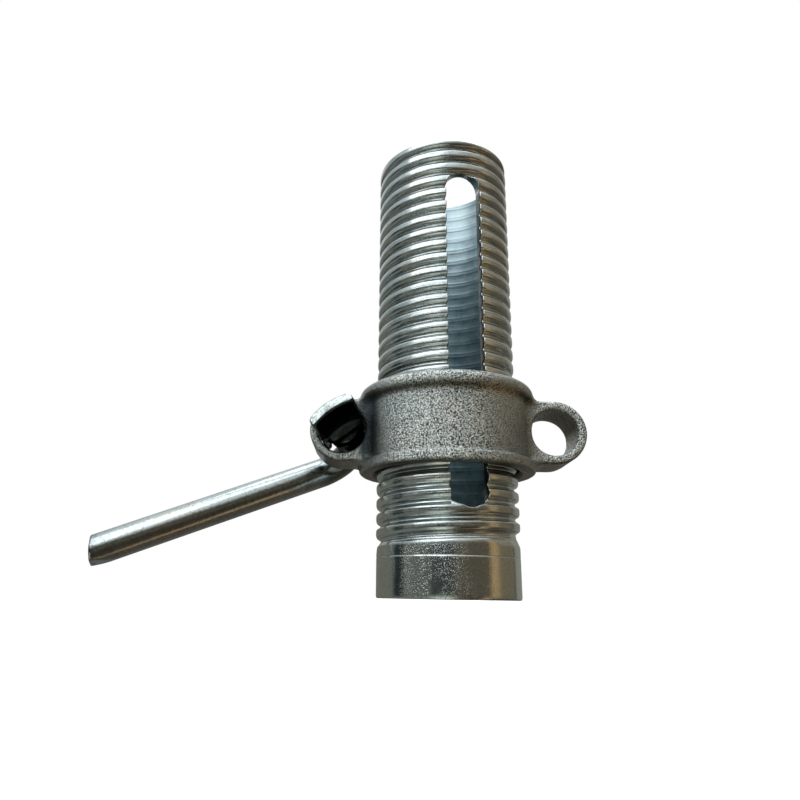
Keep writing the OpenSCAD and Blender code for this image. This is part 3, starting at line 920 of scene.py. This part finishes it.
def wmath(op, a, b=None):
    n = wnode("ShaderNodeMath", operation=op)
    for sock, val in zip(n.inputs, (a, b)):
        if val is None:
            continue
        if isinstance(val, (int, float)):
            sock.default_value = val
        else:
            wt.links.new(val, sock)
    return n.outputs[0]


def wramp(fac, stops, mode="LINEAR"):
    r = wnode("ShaderNodeValToRGB")
    r.color_ramp.interpolation = mode
    els = r.color_ramp.elements
    while len(els) < len(stops):
        els.new(0.5)
    for e, (pos, col) in zip(els, stops):
        e.position = pos
        e.color = (*col, 1.0)
    wt.links.new(fac, r.inputs["Fac"])
    return r.outputs["Color"]


coord = wnode("ShaderNodeTexCoord")
sep = wnode("ShaderNodeSeparateXYZ")
wt.links.new(coord.outputs["Generated"], sep.inputs[0])
# azimuth 0..1, with 0.5 towards the camera side (-Y) and rising towards +X
az = wmath("ARCTAN2", sep.outputs["X"], wmath("MULTIPLY", sep.outputs["Y"], -1.0))
az01 = wmath("ADD", wmath("DIVIDE", az, 2 * math.pi), 0.5)


def deg(a):
    return (a + 180) / 360


horizon = wramp(
    az01,
    [
        (0.0, (0.175, 0.175, 0.145)),
        (deg(-104), (0.165, 0.165, 0.135)),
        (deg(-98), (0.020, 0.027, 0.027)),
        (deg(-82), (0.017, 0.025, 0.026)),
        (deg(-77), (0.145, 0.148, 0.129)),
        (deg(-34), (0.116, 0.121, 0.104)),
        (deg(-29), (0.054, 0.058, 0.057)),
        (deg(0), (0.052, 0.055, 0.054)),
        (deg(5), (0.098, 0.086, 0.062)),
        (deg(60), (0.095, 0.083, 0.060)),
        (deg(66), (0.41, 0.29, 0.145)),
        (deg(75), (0.39, 0.275, 0.14)),
        (deg(84), (0.165, 0.140, 0.094)),
        (deg(116), (0.16, 0.138, 0.094)),
        (deg(120), (0.05, 0.045, 0.040)),
        (deg(124), (0.25, 0.255, 0.22)),
        (1.0, (0.26, 0.265, 0.23)),
    ],
)
sky = wramp(
    az01,
    [
        (0.0, (0.74, 0.77, 0.76)),
        (deg(-150), (0.62, 0.66, 0.66)),
        (deg(-115), (0.38, 0.42, 0.43)),
        (deg(-72), (0.60, 0.67, 0.68)),
        (deg(-46), (0.94, 1.02, 1.02)),
        (deg(0), (0.86, 0.94, 0.95)),
        (deg(40), (0.42, 0.40, 0.34)),
        (deg(110), (0.25, 0.215, 0.17)),
        (deg(150), (0.42, 0.41, 0.37)),
        (1.0, (0.70, 0.72, 0.70)),
    ],
)
ground = wramp(
    az01,
    [
        (0.0, (0.15, 0.155, 0.14)),
        (deg(-110), (0.17, 0.18, 0.17)),
        (deg(-70), (0.17, 0.19, 0.18)),
        (deg(-43), (0.17, 0.19, 0.175)),
        (deg(-32), (0.42, 0.46, 0.39)),
        (deg(-21), (0.74, 0.80, 0.69)),
        (deg(-6), (0.70, 0.74, 0.60)),
        (deg(4), (0.34, 0.32, 0.25)),
        (deg(12), (0.050, 0.041, 0.032)),
        (deg(47), (0.046, 0.036, 0.028)),
        (deg(53), (0.46, 0.32, 0.18)),
        (deg(61), (0.46, 0.32, 0.18)),
        (deg(68), (0.085, 0.070, 0.053)),
        (deg(110), (0.10, 0.087, 0.068)),
        (1.0, (0.13, 0.125, 0.11)),
    ],
)
nadir = wramp(
    az01,
    [
        (0.0, (0.10, 0.087, 0.068)),
        (deg(-100), (0.12, 0.115, 0.10)),
        (deg(-60), (0.18, 0.20, 0.185)),
        (deg(-38), (0.42, 0.46, 0.40)),
        (deg(-6), (0.50, 0.53, 0.43)),
        (deg(10), (0.10, 0.085, 0.065)),
        (deg(46), (0.07, 0.058, 0.045)),
        (deg(53), (0.36, 0.25, 0.14)),
        (deg(61), (0.36, 0.25, 0.14)),
        (deg(68), (0.08, 0.066, 0.050)),
        (1.0, (0.10, 0.087, 0.068)),
    ],
)
up = wnode("ShaderNodeMapRange")
wt.links.new(sep.outputs["Z"], up.inputs["Value"])
for k, v in zip(("From Min", "From Max", "To Min", "To Max"), (0.215, 0.485, 0.0, 1.0)):
    up.inputs[k].default_value = v
down = wnode("ShaderNodeMapRange")
wt.links.new(sep.outputs["Z"], down.inputs["Value"])
for k, v in zip(("From Min", "From Max", "To Min", "To Max"), (-0.10, -0.30, 0.0, 1.0)):
    down.inputs[k].default_value = v
deep = wnode("ShaderNodeMapRange")
wt.links.new(sep.outputs["Z"], deep.inputs["Value"])
for k, v in zip(("From Min", "From Max", "To Min", "To Max"), (-0.68, -0.86, 0.0, 1.0)):
    deep.inputs[k].default_value = v


def wmix(fac, a, b):
    n = wnode("ShaderNodeMix", data_type="RGBA")
    wt.links.new(fac, n.inputs[0])
    wt.links.new(a, n.inputs[6])
    wt.links.new(b, n.inputs[7])
    return n.outputs[2]


high = wnode("ShaderNodeMapRange")
wt.links.new(sep.outputs["Z"], high.inputs["Value"])
for k, v in zip(("From Min", "From Max", "To Min", "To Max"), (0.66, 0.86, 0.0, 1.0)):
    high.inputs[k].default_value = v
zenith = wramp(az01, [(0.0, (0.80, 0.86, 0.87)), (0.5, (0.90, 0.97, 0.97)), (1.0, (0.80, 0.86, 0.87))])
env = wmix(down.outputs[0], wmix(up.outputs[0], horizon, wmix(high.outputs[0], sky, zenith)), wmix(deep.outputs[0], ground, nadir))
lit = wnode("ShaderNodeBackground")
wt.links.new(env, lit.inputs["Color"])
lit.inputs["Strength"].default_value = 1.0
plain = wnode("ShaderNodeBackground")
plain.inputs["Color"].default_value = (1, 1, 1, 1)
path = wnode("ShaderNodeLightPath")
pick = wnode("ShaderNodeMixShader")
wt.links.new(path.outputs["Is Camera Ray"], pick.inputs[0])
wt.links.new(lit.outputs[0], pick.inputs[1])
wt.links.new(plain.outputs[0], pick.inputs[2])
out = wnode("ShaderNodeOutputWorld")
wt.links.new(pick.outputs[0], out.inputs[0])


def area(name, at, aim, size, watts, colour, size_y=None):
    d = bpy.data.lights.new(name, "AREA")
    d.energy, d.size, d.color = watts, size, colour
    if size_y:
        d.shape, d.size_y = "RECTANGLE", size_y
    o = bpy.data.objects.new(name, d)
    scene.collection.objects.link(o)
    o.location = at
    o.rotation_euler = (Vector(aim) - Vector(at)).to_track_quat("-Z", "Y").to_euler()
    return o


area("key", (-0.55, -0.75, 0.95), (0, 0, 0.1), 1.1, 4.0, (0.95, 0.98, 1.0))
area("top", (0.05, 0.1, 1.3), (0, 0, 0.1), 0.9, 4.0, (0.96, 0.98, 1.0))

# ---------------------------------------------------------------- camera
PITCH_UP, YAW, ROLL = math.radians(15.4468), math.radians(0.84617), math.radians(-1.04044)
rz = Matrix.Rotation(YAW, 3, "Z")
rx = Matrix.Rotation(PITCH_UP, 3, "X")
ry = Matrix.Rotation(ROLL, 3, "Y")
base = rz @ rx @ ry
right, forward, upward = base.col[0], base.col[1], base.col[2]
cam_data = bpy.data.cameras.new("camera")
cam = bpy.data.objects.new("camera", cam_data)
scene.collection.objects.link(cam)
cam.matrix_world = Matrix(
    (
        (right[0], upward[0], -forward[0], -0.03172049),
        (right[1], upward[1], -forward[1], -0.29151819),
        (right[2], upward[2], -forward[2], 0.00065794),
        (0, 0, 0, 1),
    )
)
cam_data.sensor_width = 36.0
cam_data.lens = 674.747 / 800 * 36.0
cam_data.shift_x = (400 - 365) / 800
cam_data.shift_y = (410 - 400) / 800
cam_data.clip_start, cam_data.clip_end = 0.0005, 50.0
scene.camera = cam
